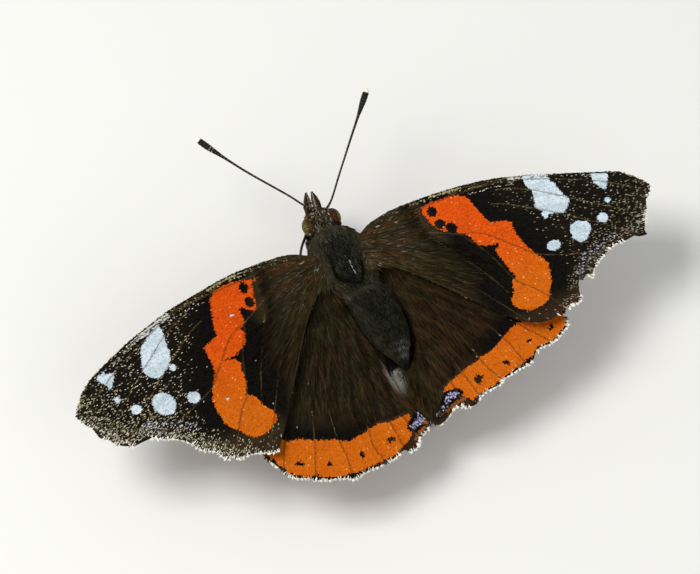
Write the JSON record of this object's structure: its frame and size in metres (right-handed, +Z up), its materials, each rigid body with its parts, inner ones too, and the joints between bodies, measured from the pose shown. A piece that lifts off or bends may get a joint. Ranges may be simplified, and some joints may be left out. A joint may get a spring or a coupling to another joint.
{
  "type": "red admiral butterfly",
  "caption": "Life-size red admiral butterfly standing with its wings spread nearly flat, head lowered and antennae raised, for display.",
  "frame": {"origin": "on the floor, under the middle of the bounding box", "axes": "+Z up; the head faces -Y; +X is the butterfly's left, along the span of the wings"},
  "size_m": [0.0612, 0.0382, 0.0136],
  "materials": {
    "hair": "dark grey-brown hair, matt",
    "abdomen": "dark grey scales and short hair",
    "wing": "brown-black wing scales with an orange-red band and bluish white spots",
    "eye": "glossy brown compound eye with a yellow-green rim",
    "cuticle": "dark cuticle with fine pale scales"
  },
  "bodies": {
    "root": {"head": "hair", "thorax": "hair", "abdomen": "abdomen", "eye_left": "eye", "eye_right": "eye", "antenna_left": "cuticle", "antenna_right": "cuticle", "palp_left": "hair", "palp_right": "hair", "proboscis": "cuticle", "forewing_left": "wing", "forewing_right": "wing", "hindwing_left": "wing", "hindwing_right": "wing", "foreleg_left": "cuticle", "foreleg_right": "cuticle", "midleg_left": "cuticle", "midleg_right": "cuticle", "hindleg_left": "cuticle", "hindleg_right": "cuticle"}
  },
  "joints": []
}
